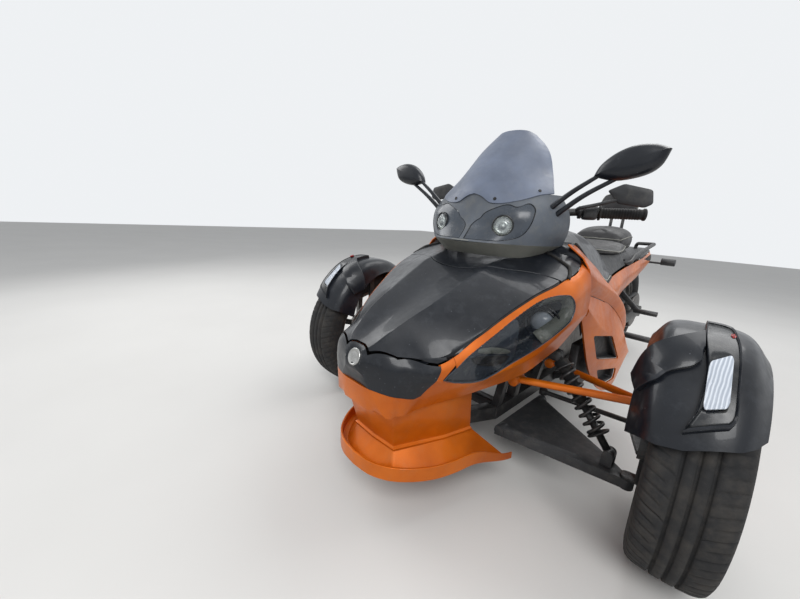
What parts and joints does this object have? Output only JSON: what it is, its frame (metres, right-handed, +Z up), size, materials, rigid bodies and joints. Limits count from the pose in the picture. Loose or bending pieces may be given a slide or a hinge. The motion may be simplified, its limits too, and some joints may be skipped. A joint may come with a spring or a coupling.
{
  "type": "three-wheeled motorcycle",
  "caption": "Road trike with steered front wheels under fenders, a driven rear wheel, hinged hood over a front trunk and a hinged seat.",
  "frame": {"origin": "on the ground at the middle of the overall length and width", "axes": "+X to the vehicle's left, +Y to the rear, +Z up; the front faces -Y"},
  "size_m": [1.5433, 2.679, 1.1449],
  "materials": {
    "orange_paint": "burnt-orange metallic paint, semi-gloss",
    "black_paint": "black metallic paint, semi-gloss",
    "dark_plastic": "moulded black plastic, matt",
    "cowl_grey": "dark grey plastic, satin",
    "screen": "tinted blue-grey plastic, opaque",
    "lens": "smoked lens over a lamp",
    "clear_lens": "clear lens over white",
    "red_lens": "red lens",
    "black_steel": "black coated steel",
    "cast_metal": "cast aluminium, grey",
    "steel": "bare steel",
    "tyre": "road tyre, worn",
    "grip_rubber": "black rubber",
    "seat_leather": "black seat cover with pale piping"
  },
  "bodies": {
    "chassis": {"frame": "black_steel", "front_frame": "black_steel", "engine": "cast_metal", "front_bumper": "orange_paint", "nose_panel": "black_paint", "cowl_neck": "dark_plastic", "trunk_tub": "dark_plastic", "cowl": "cowl_grey", "cowl_lamps": "lens", "windscreen": "screen", "mirrors": "black_paint", "instrument_panel": "dark_plastic", "tank_cover": "dark_plastic", "radiators": "dark_plastic", "side_fairings": "orange_paint", "headlamps": "lens", "side_panels": "orange_paint", "shoulder_panels": "orange_paint", "tail_panels": "orange_paint", "tail_deck": "dark_plastic", "backrest": "black_steel", "upper_arms": "orange_paint", "lower_arms": "dark_plastic", "shocks": "black_steel", "drive_belt": "dark_plastic", "swing_arm": "black_steel", "tail_lamp": "red_lens", "plate_carrier": "dark_plastic", "rear_signals": "dark_plastic", "grab_handles": "black_steel", "foot_pegs": "black_steel", "exhaust": "steel"},
    "steering": {"handlebar": "black_steel", "grips": "grip_rubber", "switch_pods": "dark_plastic", "hand_guards": "dark_plastic"},
    "hood": {"hood": "black_paint"},
    "seat": {"seat_base": "dark_plastic", "seat_pads": "seat_leather"},
    "wheel_rear": {"tyre_rear": "tyre", "rim_rear": "cast_metal", "pulley_rear": "cast_metal"},
    "knuckle_left": {"knuckle_left": "black_steel", "fender_left": "black_paint", "fender_lamp_left": "clear_lens"},
    "wheel_front_left": {"tyre_front_left": "tyre", "rim_front_left": "cast_metal", "disc_front_left": "steel"},
    "tie_rod_left": {"tie_rod_left": "black_steel"},
    "knuckle_right": {"knuckle_right": "black_steel", "fender_right": "black_paint", "fender_lamp_right": "clear_lens"},
    "wheel_front_right": {"tyre_front_right": "tyre", "rim_front_right": "cast_metal", "disc_front_right": "steel"},
    "tie_rod_right": {"tie_rod_right": "black_steel"}
  },
  "joints": [
    {"name": "steering", "type": "hinge", "parent": "chassis", "child": "steering", "pos_m": [0, -0.5675, 0.872], "axis": [0, 0.1045, 0.9945], "range_deg": [-27.5, 16.5]},
    {"name": "hood_lid", "type": "hinge", "parent": "chassis", "child": "hood", "pos_m": [0, -1.3155, 0.508], "axis": [1, 0, 0], "range_deg": [0, 50]},
    {"name": "seat_lid", "type": "hinge", "parent": "chassis", "child": "seat", "pos_m": [0, -0.0285, 0.764], "axis": [1, 0, 0], "range_deg": [0, 50]},
    {"name": "wheel_rear_spin", "type": "hinge", "parent": "chassis", "child": "wheel_rear", "pos_m": [0, 0.9495, 0.303], "axis": [1, 0, 0], "continuous": true},
    {"name": "knuckle_left_turn", "type": "hinge", "parent": "chassis", "child": "knuckle_left", "pos_m": [0.548, -0.7775, 0.285], "axis": [0, 0, 1], "range_deg": [-27.5, 16.5]},
    {"name": "wheel_front_left_spin", "type": "hinge", "parent": "knuckle_left", "child": "wheel_front_left", "pos_m": [0.65351, -0.76734, 0.285], "axis": [0.9954, 0.0958, 0], "continuous": true},
    {"name": "tie_rod_left_turn", "type": "hinge", "parent": "knuckle_left", "child": "tie_rod_left", "pos_m": [0.51467, -0.64006, 0.262], "axis": [0, 0, 1], "range_deg": [-17, 28]},
    {"name": "knuckle_right_turn", "type": "hinge", "parent": "chassis", "child": "knuckle_right", "pos_m": [-0.548, -0.7775, 0.285], "axis": [0, 0, 1], "range_deg": [-27.5, 16.5]},
    {"name": "wheel_front_right_spin", "type": "hinge", "parent": "knuckle_right", "child": "wheel_front_right", "pos_m": [-0.65351, -0.78766, 0.285], "axis": [0.9954, 0.0958, 0], "continuous": true},
    {"name": "tie_rod_right_turn", "type": "hinge", "parent": "knuckle_right", "child": "tie_rod_right", "pos_m": [-0.54151, -0.63623, 0.262], "axis": [0, 0, 1], "range_deg": [-17, 28]}
  ],
  "couplings": [
    {"joint": "knuckle_left_turn", "follows": "steering", "ratio": 1},
    {"joint": "tie_rod_left_turn", "follows": "steering", "ratio": -1},
    {"joint": "knuckle_right_turn", "follows": "steering", "ratio": 1},
    {"joint": "tie_rod_right_turn", "follows": "steering", "ratio": -1}
  ]
}
